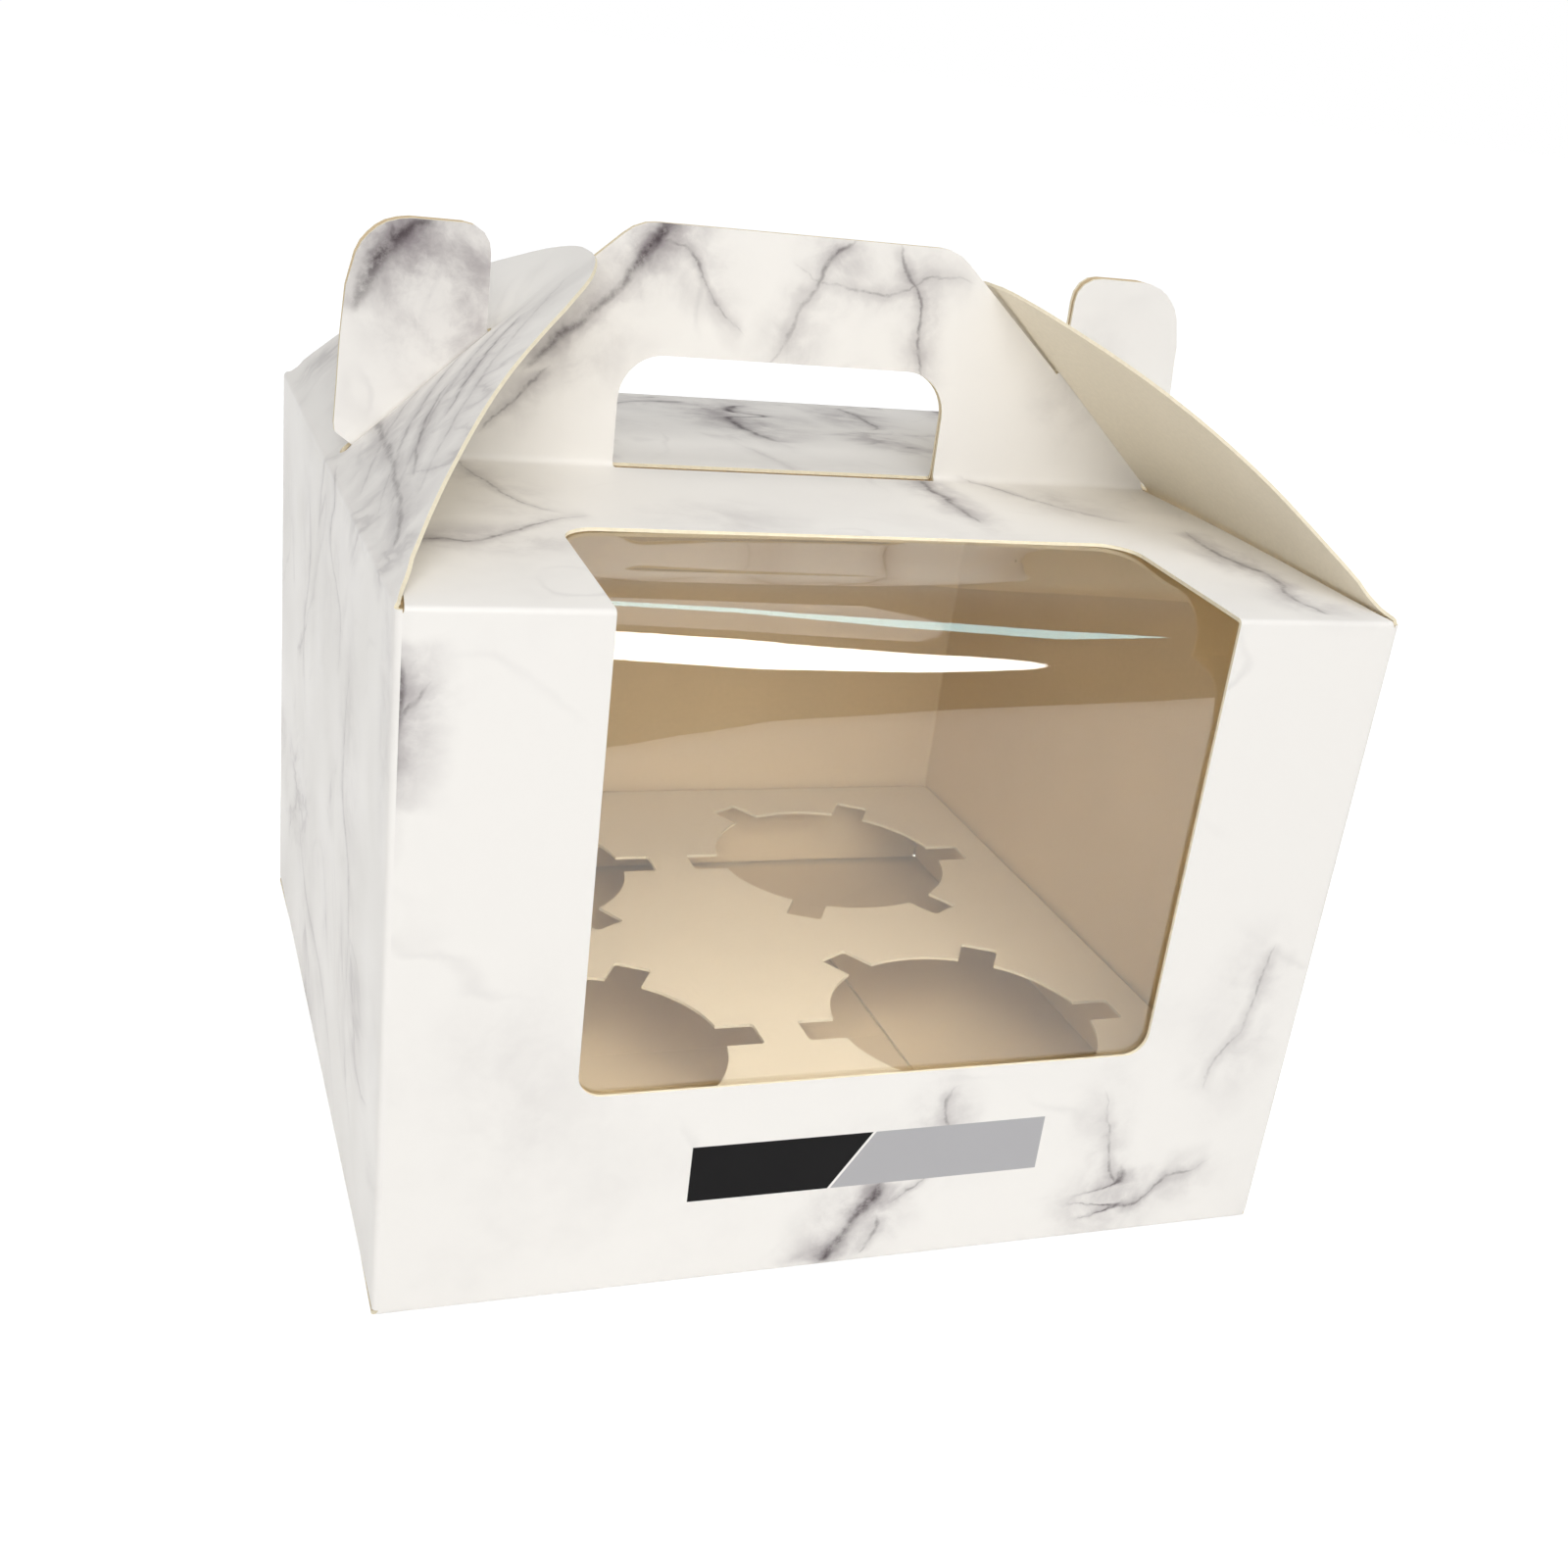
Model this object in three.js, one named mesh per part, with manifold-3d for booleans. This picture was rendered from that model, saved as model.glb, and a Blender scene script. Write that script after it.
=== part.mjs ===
import * as THREE from 'three';
import { mergeVertices } from 'three/addons/utils/BufferGeometryUtils.js';
import Module from 'manifold-3d';

// Window box with a carry handle, for four cupcakes, folded from thin card.
// Millimetres. X is to the right, Y is to the back, Z is up, and the box stands on Z = 0.

// Card and clearances
const BOARD = 0.6;          // thickness of the box card and of the insert card
const FILM = 0.25;          // thickness of the window film
const CLEAR = 0.3;          // air between two pieces, or between two layers of card
const LOOSE = 0.4;          // air along a fold, and round what stands in the box
const OVERCUT = 1;          // how far a cutter stands out of what it cuts

// Body
const WIDTH = 160;
const DEPTH = 160;
const WALL_HEIGHT = 115;
const CORNER_R = 1;
const HALF_WIDTH = WIDTH / 2;
const HALF_DEPTH = DEPTH / 2;

// Top panels: share of the way from a wall to the handle, and rise over the wall
const PANEL_RISE = [[0, -0.4], [0.247, 0.35], [0.498, 1], [0.749, 1.4], [0.988, 1.5]];
const PANEL_INSET_FRONT = 1.8;
const PANEL_INSET_HANDLE = 4.2;
const PANEL_HALF_FRONT = HALF_WIDTH - PANEL_INSET_FRONT;
const PANEL_HALF_HANDLE = HALF_WIDTH - PANEL_INSET_HANDLE;
const PANEL_BOUND_LOW = 2;
const PANEL_BOUND_HIGH = 2.3;

// Handle: two upright layers, with an ear at each end that goes through a lock flap.
// Its edge is given from the side of the box and from the top of the walls.
const HANDLE_TOP = 43.3;
const HANDLE_FOLD = 1.9;
const HANDLE_EDGE = [
  [4.2, 1.2], [4.2, 2.3], [1.1, 5.4], [0.9, 7], [1.7, 21.8], [2.4, 29.3], [3.8, 34.5],
  [5.8, 37.6], [8.6, 39.7], [12.5, 40.6], [21, 40.6], [22.8, 40.3], [24.4, 39.3],
  [25.4, 37.8], [25.7, 36], [25.7, 23.6], [26.8, 22.8], [48, 41.1], [49.7, 42.3], [51.8, 43.1],
  [53.6, 43.3],
];
const GRIP_HALF = 31;
const GRIP_TOP = 21.4;
const GRIP_FOOT = 2.1;
const GRIP_R = 8;
const GRIP_FOOT_R = 0.6;

// Window, cut across the front top edge
const WINDOW_SIDE = 30;
const WINDOW_DEPTH = 38;
const WINDOW_HALF = HALF_WIDTH - WINDOW_SIDE;
const WINDOW_FOOT = 37.2;
const WINDOW_BACK_Y = WINDOW_DEPTH - HALF_DEPTH;
const WINDOW_FRONT_R = 4;
const WINDOW_BACK_R = 6;
const FILM_LAP = 7;
const FILM_HALF = WINDOW_HALF + FILM_LAP;
const FILM_FOOT = WINDOW_FOOT - FILM_LAP;
const FILM_BEND_R = 16;
const FILM_BACK_Y = WINDOW_BACK_Y + FILM_LAP;

// Bottom: two long flaps that meet off centre, under two short side flaps
const BOTTOM_HALF = HALF_WIDTH - BOARD - LOOSE;
const BOTTOM_SEAM_Y = -8;
const SIDE_FLAP_LENGTH = 44;
const SIDE_FLAP_ROOT_INSET = 3;
const SIDE_FLAP_END_INSET = 35;
const SIDE_FLAP_REACH = HALF_WIDTH - SIDE_FLAP_LENGTH;
const SIDE_FLAP_ROOT = HALF_DEPTH - SIDE_FLAP_ROOT_INSET;
const SIDE_FLAP_END = HALF_DEPTH - SIDE_FLAP_END_INSET;

// Glue flap at the back left corner
const GLUE_FLAP_WIDTH = 13;
const GLUE_FLAP_FOOT = 4;
const GLUE_FLAP_TOP = 111;
const GLUE_FLAP_SLANT = 6;

// Lock flaps: distance up the flap from its fold, and half its width there as a share of the depth
const FLAP_ANGLE = THREE.MathUtils.degToRad(42);
const FLAP_ROOT_X = HALF_WIDTH - BOARD / 2;
const FLAP_ROOT_Z = WALL_HEIGHT - CLEAR / 3;
const FLAP_OUTLINE = [
  [0.35, 0.491], [1.6, 0.474], [3, 0.462], [5, 0.446], [7.5, 0.428], [10, 0.409], [14.5, 0.377],
  [19, 0.347], [24, 0.311], [28.5, 0.279], [33, 0.249], [35.6, 0.232], [38.5, 0.213], [42, 0.189],
  [45, 0.168], [48, 0.144], [50.5, 0.123], [52.5, 0.103], [54, 0.083], [55.2, 0.062], [56, 0.042],
  [56.4, 0.021],
];
const FLAP_SLOT_START = 3;
const FLAP_SLOT_END = 35.6;
const FLAP_SLOT_HALF = CLEAR / 2 + BOARD + CLEAR;
const FLAP_BOW = 4;
const FLAP_BOW_SPREAD = 18;
const FLAP_LENGTH = 56.5;
const FLAP_COLUMNS = 8;

// Insert that holds the cups
const INSERT_HALF_X = HALF_WIDTH - BOARD - LOOSE;
const INSERT_HALF_Y = HALF_DEPTH - 2 * BOARD - CLEAR - LOOSE;
const INSERT_TOP = 21.2;
const INSERT_LEG_FOOT = 2 * BOARD + 2 * CLEAR;
const INSERT_CORNER = 1.6;
const CUP_MARGIN = 10;
const CUP_PITCH_X = (WIDTH - CUP_MARGIN) / 2;
const CUP_PITCH_Y = (DEPTH - CUP_MARGIN) / 2;
const CUP_R = 26;
const NOTCH_R = 33.1;
const NOTCH_WIDTH = 7.4;
const NOTCH_ANGLES = [0, 60, 120];

const wasm = await Module();
wasm.setup();

const PLAN = new THREE.Matrix4();
const ELEVATION = new THREE.Matrix4().makeBasis(
  new THREE.Vector3(1, 0, 0), new THREE.Vector3(0, 0, 1), new THREE.Vector3(0, -1, 0));
const PROFILE = new THREE.Matrix4().makeBasis(
  new THREE.Vector3(0, 1, 0), new THREE.Vector3(0, 0, 1), new THREE.Vector3(1, 0, 0));

function solid(geometry) {
  const bare = geometry.index ? geometry.toNonIndexed() : geometry.clone();
  bare.deleteAttribute('normal');
  bare.deleteAttribute('uv');
  const welded = mergeVertices(bare, 1e-4);
  return new wasm.Manifold(new wasm.Mesh({
    numProp: 3,
    vertProperties: new Float32Array(welded.attributes.position.array),
    triVerts: new Uint32Array(welded.index.array),
  }));
}

function geometryOf(body) {
  const mesh = body.getMesh();
  const geometry = new THREE.BufferGeometry();
  const positions = new Float32Array(mesh.numVert * 3);
  for (let i = 0; i < mesh.numVert; i += 1) {
    positions[3 * i] = mesh.vertProperties[mesh.numProp * i];
    positions[3 * i + 1] = mesh.vertProperties[mesh.numProp * i + 1];
    positions[3 * i + 2] = mesh.vertProperties[mesh.numProp * i + 2];
  }
  geometry.setAttribute('position', new THREE.BufferAttribute(positions, 3));
  geometry.setIndex(Array.from(mesh.triVerts));
  geometry.computeVertexNormals();
  return geometry;
}

// A flat outline pushed from one depth to another, laid in plan, elevation or profile.
function prism(outline, from, to, lay) {
  const shape = outline instanceof THREE.Shape ? outline : new THREE.Shape(
    outline.map(([u, v]) => new THREE.Vector2(u, v)));
  const geometry = new THREE.ExtrudeGeometry(
    shape, { depth: to - from, bevelEnabled: false, curveSegments: 8 });
  geometry.translate(0, 0, from);
  geometry.applyMatrix4(lay);
  return solid(geometry);
}

function block(x0, x1, y0, y1, z0, z1) {
  const geometry = new THREE.BoxGeometry(x1 - x0, y1 - y0, z1 - z0);
  geometry.translate((x0 + x1) / 2, (y0 + y1) / 2, (z0 + z1) / 2);
  return solid(geometry);
}

// Rectangle with its own corner radius at the low and at the high side.
function roundedRectangle(x0, x1, y0, y1, lowR, highR, Kind = THREE.Shape) {
  const path = new Kind();
  path.moveTo(x0 + lowR, y0);
  path.lineTo(x1 - lowR, y0);
  path.absarc(x1 - lowR, y0 + lowR, lowR, -Math.PI / 2, 0, false);
  path.lineTo(x1, y1 - highR);
  path.absarc(x1 - highR, y1 - highR, highR, 0, Math.PI / 2, false);
  path.lineTo(x0 + highR, y1);
  path.absarc(x0 + highR, y1 - highR, highR, Math.PI / 2, Math.PI, false);
  path.lineTo(x0, y0 + lowR);
  path.absarc(x0 + lowR, y0 + lowR, lowR, Math.PI, 1.5 * Math.PI, false);
  return path;
}

function ring(halfX, halfY, radius, thickness, from, to) {
  const shape = roundedRectangle(-halfX, halfX, -halfY, halfY, radius, radius);
  const inner = Math.max(radius - thickness, 0.2);
  shape.holes.push(roundedRectangle(
    thickness - halfX, halfX - thickness, thickness - halfY, halfY - thickness, inner, inner, THREE.Path));
  return prism(shape, from, to, PLAN);
}

// A sheet seen from its edge: the path of its middle, given an even thickness.
function sheetProfile(path, thickness) {
  const points = path.map(([u, v]) => new THREE.Vector2(u, v));
  const left = [];
  const right = [];
  points.forEach((point, i) => {
    const before = points[Math.max(i - 1, 0)];
    const after = points[Math.min(i + 1, points.length - 1)];
    const into = i > 0 ? point.clone().sub(before).normalize() : after.clone().sub(point).normalize();
    const out = i < points.length - 1 ? after.clone().sub(point).normalize() : into.clone();
    const normal = new THREE.Vector2(-into.y - out.y, into.x + out.x).normalize();
    const reach = thickness / 2 / normal.dot(new THREE.Vector2(-into.y, into.x));
    left.push(point.clone().addScaledVector(normal, reach));
    right.push(point.clone().addScaledVector(normal, -reach));
  });
  return new THREE.Shape([...right, ...left.reverse()]);
}

// Middle of the front top panel, seen from its edge
const panelPath = PANEL_RISE.map(([share, rise]) => [
  (HALF_DEPTH - BOARD / 2) * (share - 1), WALL_HEIGHT + rise,
]);

function panelHeight(y) {
  const i = panelPath.findIndex(([at]) => at >= y);
  const [y0, z0] = panelPath[i - 1];
  const [y1, z1] = panelPath[i];
  return z0 + (z1 - z0) * (y - y0) / (y1 - y0);
}

// Top panel and upright handle layer of the front half. The back half is its mirror image.
function topSheet() {
  const layerY = -(CLEAR + BOARD) / 2;
  const sheet = prism(
    sheetProfile([
      ...panelPath, [layerY, WALL_HEIGHT + HANDLE_FOLD], [layerY, WALL_HEIGHT + HANDLE_TOP],
    ], BOARD),
    -HALF_WIDTH, HALF_WIDTH, PROFILE);
  const panel = prism([
    [-PANEL_HALF_FRONT, -HALF_DEPTH], [PANEL_HALF_FRONT, -HALF_DEPTH],
    [PANEL_HALF_HANDLE, 0], [-PANEL_HALF_HANDLE, 0],
  ], WALL_HEIGHT - PANEL_BOUND_LOW, WALL_HEIGHT + PANEL_BOUND_HIGH, PLAN);
  const edge = HANDLE_EDGE.map(([inset, rise]) => [HALF_WIDTH - inset, WALL_HEIGHT + rise]);
  const mirrored = edge.map(([x, z]) => [-x, z]).reverse();
  const handle = prism([...edge, ...mirrored], 0, CLEAR + 2 * BOARD + OVERCUT, ELEVATION);
  const grip = prism(
    roundedRectangle(
      -GRIP_HALF, GRIP_HALF, WALL_HEIGHT + GRIP_FOOT, WALL_HEIGHT + GRIP_TOP, GRIP_FOOT_R, GRIP_R),
    -OVERCUT, CLEAR + 2 * BOARD + 2 * OVERCUT, ELEVATION);
  return sheet.intersect(panel.add(handle)).subtract(grip);
}

function bottomFlaps() {
  const frontFlap = block(
    -BOTTOM_HALF, BOTTOM_HALF, -HALF_DEPTH + BOARD / 2, BOTTOM_SEAM_Y - CLEAR / 2, 0, BOARD);
  const backFlap = block(
    -BOTTOM_HALF, BOTTOM_HALF, BOTTOM_SEAM_Y + CLEAR / 2, HALF_DEPTH - BOARD / 2, 0, BOARD);
  const low = BOARD + CLEAR;
  const rootX = HALF_WIDTH - BOARD / 2;
  const sideFlap = prism([
    [SIDE_FLAP_REACH, -SIDE_FLAP_END], [rootX, -SIDE_FLAP_ROOT],
    [rootX, SIDE_FLAP_ROOT], [SIDE_FLAP_REACH, SIDE_FLAP_END],
  ], low, low + BOARD, PLAN);
  return frontFlap.add(backFlap).add(sideFlap).add(sideFlap.mirror([1, 0, 0]));
}

function carton() {
  let body = ring(HALF_WIDTH, HALF_DEPTH, CORNER_R, BOARD, 0, WALL_HEIGHT);
  const cutX = HALF_WIDTH - BOARD - OVERCUT;
  const cutY = HALF_DEPTH - BOARD - 0.5 * LOOSE;
  const outX = HALF_WIDTH + OVERCUT;
  const sideTop = block(cutX, outX, -cutY, cutY, WALL_HEIGHT - LOOSE, WALL_HEIGHT + OVERCUT);
  const sideFoot = block(cutX, outX, -cutY, cutY, -OVERCUT, BOARD + CLEAR);
  for (const cut of [sideTop, sideFoot]) {
    body = body.subtract(cut).subtract(cut.mirror([1, 0, 0]));
  }
  const top = topSheet();
  body = body.add(top).add(top.mirror([0, 1, 0])).add(bottomFlaps());

  const rootX = BOARD / 2 - HALF_WIDTH;
  const endX = GLUE_FLAP_WIDTH - HALF_WIDTH;
  const outerY = HALF_DEPTH - BOARD - CLEAR;
  const glueFlap = prism([
    [rootX, GLUE_FLAP_FOOT], [endX, GLUE_FLAP_FOOT + GLUE_FLAP_SLANT],
    [endX, GLUE_FLAP_TOP - GLUE_FLAP_SLANT], [rootX, GLUE_FLAP_TOP],
  ], -outerY, BOARD - outerY, ELEVATION);
  body = body.add(glueFlap);

  const above = WALL_HEIGHT + PANEL_BOUND_HIGH + OVERCUT;
  const windowFront = prism(
    roundedRectangle(-WINDOW_HALF, WINDOW_HALF, WINDOW_FOOT, above, WINDOW_FRONT_R, OVERCUT),
    HALF_DEPTH - BOARD - 0.5 * LOOSE, HALF_DEPTH + OVERCUT, ELEVATION);
  const windowTop = prism(
    roundedRectangle(
      -WINDOW_HALF, WINDOW_HALF, -HALF_DEPTH - OVERCUT, WINDOW_BACK_Y, 0.5 * OVERCUT, WINDOW_BACK_R),
    WALL_HEIGHT - PANEL_BOUND_LOW, above, PLAN);
  return geometryOf(body.subtract(windowFront).subtract(windowTop));
}

function windowFilm() {
  const wallY = -HALF_DEPTH + BOARD + CLEAR + FILM / 2;
  const under = BOARD / 2 + CLEAR + FILM / 2 + 0.2 * FILM;
  const bendY = wallY + FILM_BEND_R;
  const bendZ = panelHeight(bendY) - under - FILM_BEND_R;
  const path = [[wallY, FILM_FOOT]];
  for (let step = 0; step <= 12; step += 1) {
    const turn = step / 12 * Math.PI / 2;
    path.push([bendY - FILM_BEND_R * Math.cos(turn), bendZ + FILM_BEND_R * Math.sin(turn)]);
  }
  for (const share of [0.3, 0.65, 1]) {
    const y = bendY + (FILM_BACK_Y - bendY) * share;
    path.push([y, panelHeight(y) - under]);
  }
  return geometryOf(prism(sheetProfile(path, FILM), -FILM_HALF, FILM_HALF, PROFILE));
}

function cupInsert() {
  const sheet = block(
    BOARD / 2 - INSERT_HALF_X, INSERT_HALF_X - BOARD / 2,
    BOARD / 2 - INSERT_HALF_Y, INSERT_HALF_Y - BOARD / 2, INSERT_TOP - BOARD, INSERT_TOP);
  let legs = ring(INSERT_HALF_X, INSERT_HALF_Y, BOARD, BOARD, INSERT_LEG_FOOT, INSERT_TOP);
  for (const sideX of [-1, 1]) {
    for (const sideY of [-1, 1]) {
      const x = sideX * (INSERT_HALF_X + OVERCUT - INSERT_CORNER);
      const y = sideY * (INSERT_HALF_Y + OVERCUT - INSERT_CORNER);
      legs = legs.subtract(block(
        x - INSERT_CORNER, x + INSERT_CORNER, y - INSERT_CORNER, y + INSERT_CORNER,
        INSERT_LEG_FOOT - OVERCUT, INSERT_TOP + OVERCUT));
    }
  }
  let body = legs.add(sheet);
  const circle = new THREE.Shape();
  circle.absarc(0, 0, CUP_R, 0, 2 * Math.PI, false);
  const depth = BOARD + 2 * OVERCUT;
  const disc = new THREE.ExtrudeGeometry(circle, { depth, bevelEnabled: false, curveSegments: 60 });
  disc.translate(0, 0, INSERT_TOP - BOARD - OVERCUT);
  let cup = solid(disc);
  for (const angle of NOTCH_ANGLES) {
    const notch = new THREE.BoxGeometry(2 * NOTCH_R, NOTCH_WIDTH, depth);
    notch.rotateZ(THREE.MathUtils.degToRad(angle));
    notch.translate(0, 0, INSERT_TOP - BOARD / 2);
    cup = cup.add(solid(notch));
  }
  for (const sideX of [-1, 1]) {
    for (const sideY of [-1, 1]) {
      body = body.subtract(cup.translate([sideX * CUP_PITCH_X / 2, sideY * CUP_PITCH_Y / 2, 0]));
    }
  }
  return geometryOf(body);
}

// Middle of the right lock flap, from its fold at the origin. The handle holds it down along its
// centre line, and both halves bow outward.
function flapPoint(up, y, out) {
  const spread = 1 - Math.exp(-((y / FLAP_BOW_SPREAD) ** 2));
  const bow = FLAP_BOW * Math.sin(Math.PI * Math.min(up / FLAP_LENGTH, 1)) * spread + out;
  return new THREE.Vector3(
    -up * Math.cos(FLAP_ANGLE) + bow * Math.sin(FLAP_ANGLE),
    y,
    up * Math.sin(FLAP_ANGLE) + bow * Math.cos(FLAP_ANGLE));
}

function flapNormal(up, y) {
  const step = 0.01;
  const along = flapPoint(up + step, y, 0).sub(flapPoint(up - step, y, 0));
  const across = flapPoint(up, y + step, 0).sub(flapPoint(up, y - step, 0));
  return across.cross(along).normalize();
}

function lockFlap() {
  const points = [];
  const at = new Map();
  const triangles = [];
  function corner(row, column) {
    const key = `${row} ${column}`;
    if (!at.has(key)) {
      const [up, wide] = FLAP_OUTLINE[row];
      const half = wide * DEPTH;
      const share = (Math.abs(column) - 1) / (FLAP_COLUMNS - 1);
      const edge = Math.min(FLAP_SLOT_HALF, half / 2);
      const y = column === 0 ? 0 : Math.sign(column) * (edge + (half - edge) * share ** 1.3);
      at.set(key, points.length);
      points.push([up, y]);
    }
    return at.get(key);
  }
  for (let row = 0; row < FLAP_OUTLINE.length - 1; row += 1) {
    for (let column = -FLAP_COLUMNS; column < FLAP_COLUMNS; column += 1) {
      const up = FLAP_OUTLINE[row][0];
      const inSlot = up >= FLAP_SLOT_START && up < FLAP_SLOT_END && (column === -1 || column === 0);
      if (!inSlot) {
        const a = corner(row, column);
        const b = corner(row, column + 1);
        const c = corner(row + 1, column + 1);
        const d = corner(row + 1, column);
        triangles.push([a, b, c], [a, c, d]);
      }
    }
  }
  return thickened(points, triangles);
}

// Gives a surface its thickness: both faces, and a rim along each edge that only one triangle uses.
function thickened(points, triangles) {
  const count = points.length;
  const positions = [];
  for (const side of [1, -1]) {
    for (const [up, y] of points) {
      const point = flapPoint(up, y, 0).addScaledVector(flapNormal(up, y), side * BOARD / 2);
      positions.push(point.x, point.y, point.z);
    }
  }
  const edges = new Set();
  for (const [a, b, c] of triangles) {
    edges.add(`${a} ${b}`).add(`${b} ${c}`).add(`${c} ${a}`);
  }
  const index = [];
  for (const [a, b, c] of triangles) {
    index.push(a, b, c, a + count, c + count, b + count);
    for (const [from, to] of [[a, b], [b, c], [c, a]]) {
      if (!edges.has(`${to} ${from}`)) {
        index.push(from, from + count, to, to, from + count, to + count);
      }
    }
  }
  const geometry = new THREE.BufferGeometry();
  geometry.setAttribute('position', new THREE.BufferAttribute(new Float32Array(positions), 3));
  geometry.setIndex(index);
  geometry.computeVertexNormals();
  return geometry;
}

function card(color) {
  return new THREE.MeshStandardMaterial({ color, roughness: 0.55, metalness: 0 });
}

const group = new THREE.Group();

function place(name, geometry, material) {
  const mesh = new THREE.Mesh(geometry, material);
  mesh.name = name;
  group.add(mesh);
  return mesh;
}

place('carton', carton(), card('#eee8df'));
place('cup_insert', cupInsert(), card('#e6ddcd'));
place('window_film', windowFilm(), new THREE.MeshStandardMaterial({
  color: '#f3f5f6', roughness: 0.08, metalness: 0, transparent: true, opacity: 0.25,
}));
const rightFlap = place('right_lock_flap', lockFlap(), card('#eee8df'));
rightFlap.position.set(FLAP_ROOT_X, 0, FLAP_ROOT_Z);
const leftFlap = place('left_lock_flap', lockFlap(), card('#eee8df'));
leftFlap.position.set(-FLAP_ROOT_X, 0, FLAP_ROOT_Z);
leftFlap.rotation.z = Math.PI;

export default group;
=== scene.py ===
import math
import bpy
import numpy as np
from mathutils import Matrix, Vector
from mathutils.geometry import delaunay_2d_cdt


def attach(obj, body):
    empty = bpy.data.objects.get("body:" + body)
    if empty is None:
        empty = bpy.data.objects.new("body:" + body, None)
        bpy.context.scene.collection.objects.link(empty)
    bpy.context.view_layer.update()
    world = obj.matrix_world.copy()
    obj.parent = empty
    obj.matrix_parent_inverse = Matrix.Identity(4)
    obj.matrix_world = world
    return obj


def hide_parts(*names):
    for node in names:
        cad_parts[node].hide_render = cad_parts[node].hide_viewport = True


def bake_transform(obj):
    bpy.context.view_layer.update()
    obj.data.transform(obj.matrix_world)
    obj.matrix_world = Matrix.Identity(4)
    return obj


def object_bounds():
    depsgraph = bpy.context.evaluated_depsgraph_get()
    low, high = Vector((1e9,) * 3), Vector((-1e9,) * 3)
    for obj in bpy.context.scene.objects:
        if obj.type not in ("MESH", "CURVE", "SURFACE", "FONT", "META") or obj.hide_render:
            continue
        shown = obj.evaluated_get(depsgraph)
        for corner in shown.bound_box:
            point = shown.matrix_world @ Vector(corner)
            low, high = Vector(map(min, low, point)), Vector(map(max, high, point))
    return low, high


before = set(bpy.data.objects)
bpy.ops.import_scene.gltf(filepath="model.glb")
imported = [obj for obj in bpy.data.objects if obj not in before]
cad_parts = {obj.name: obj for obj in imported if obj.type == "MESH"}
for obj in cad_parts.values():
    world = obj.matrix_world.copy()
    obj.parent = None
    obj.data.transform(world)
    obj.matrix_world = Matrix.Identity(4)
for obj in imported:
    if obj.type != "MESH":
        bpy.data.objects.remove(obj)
cad_box = [list(p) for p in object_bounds()]

# The sheets are measured in millimetres, and the lamps, the camera and the blend in metres.
# X goes to the right, Y to the back and Z up, as in the frame. HW and HD are half the width and depth.
MM = 0.001
HW, HD, HANDLE_TOP = (round(float(c) / MM, 3) for c in cad_box[1])
BOARD = 0.6
FILM_THICKNESS = 0.25
EDGE_STEP = 4.0
WELD = 0.02
UV_SCALE = 100.0
SHARP_ANGLE = math.radians(35)

# Sheet shapes


def arc(cx, cy, r, a0, a1, n):
    """Points of an arc, with its angles in degrees."""
    return [(cx + r * math.cos(math.radians(a0 + (a1 - a0) * i / n)),
             cy + r * math.sin(math.radians(a0 + (a1 - a0) * i / n))) for i in range(n + 1)]


def rounded(x0, x1, y0, y1, low, high, n):
    """A rectangle with one radius at its two low corners and another at its two high ones."""
    return (arc(x1 - low, y0 + low, low, -90, 0, n) + arc(x1 - high, y1 - high, high, 0, 90, n)
            + arc(x0 + high, y1 - high, high, 90, 180, n) + arc(x0 + low, y0 + low, low, 180, 270, n))


def inside(points, polygon):
    """Which of the points lie inside a closed polygon."""
    x, y = points[:, 0], points[:, 1]
    hit = np.zeros(len(points), bool)
    px, py = np.array(polygon).T
    qx, qy = np.roll(px, -1), np.roll(py, -1)
    for a, b, c, d in zip(px, py, qx, qy):
        if b != d:
            hit ^= ((b > y) != (d > y)) & (x < (c - a) * (y - b) / (d - b) + a)
    return hit


def split(loop, step):
    """A closed line with points added so that none are farther apart than about one step."""
    out = []
    for (a, b), (c, d) in zip(loop, loop[1:] + loop[:1]):
        n = max(1, int(round(math.hypot(c - a, d - b) / step)))
        out += [(a + (c - a) * i / n, b + (d - b) * i / n) for i in range(n)]
    return out


def mesh_sheet(outline, holes=(), rows=(), columns=(), step=5.0):
    """Triangles of a flat outline with holes, with lines of points along each fold."""
    points, edges = [], []

    def chain(line, closed):
        first = len(points)
        points.extend(line)
        edges.extend((first + i, first + i + 1) for i in range(len(line) - 1))
        if closed:
            edges.append((first + len(line) - 1, first))

    outline = split(outline, EDGE_STEP)
    chain(outline, True)
    for hole in holes:
        chain(hole, True)
    us, vs = zip(*outline)
    u0, u1, v0, v1 = min(us), max(us), min(vs), max(vs)
    for v in rows:
        chain([(u, v) for u in np.linspace(u0 - 1, u1 + 1, int((u1 - u0) / EDGE_STEP) + 2)], False)
    for u in columns:
        chain([(u, v) for v in np.linspace(v0 - 1, v1 + 1, int((v1 - v0) / EDGE_STEP) + 2)], False)
    for v in np.arange(v0 + step / 2, v1, step):
        if all(abs(v - r) > step / 3 for r in rows):
            points.extend((u, v) for u in np.arange(u0 + step / 2, u1, step))
    made = delaunay_2d_cdt([Vector(p) for p in points], edges, [], 0, 1e-4)
    flat = np.array([tuple(p) for p in made[0]])
    faces = np.array([f for f in made[2] if len(f) == 3])
    middle = flat[faces].mean(1)
    keep = inside(middle, outline)
    for hole in holes:
        keep &= ~inside(middle, hole)
    faces = faces[keep]
    a, b, c = (flat[faces[:, i]] for i in range(3))
    area = (b[:, 0] - a[:, 0]) * (c[:, 1] - a[:, 1]) - (b[:, 1] - a[:, 1]) * (c[:, 0] - a[:, 0])
    real = np.abs(area) > 1e-5
    faces, area = faces[real], area[real]
    faces[area < 0] = faces[area < 0][:, ::-1]
    return flat, faces


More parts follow.
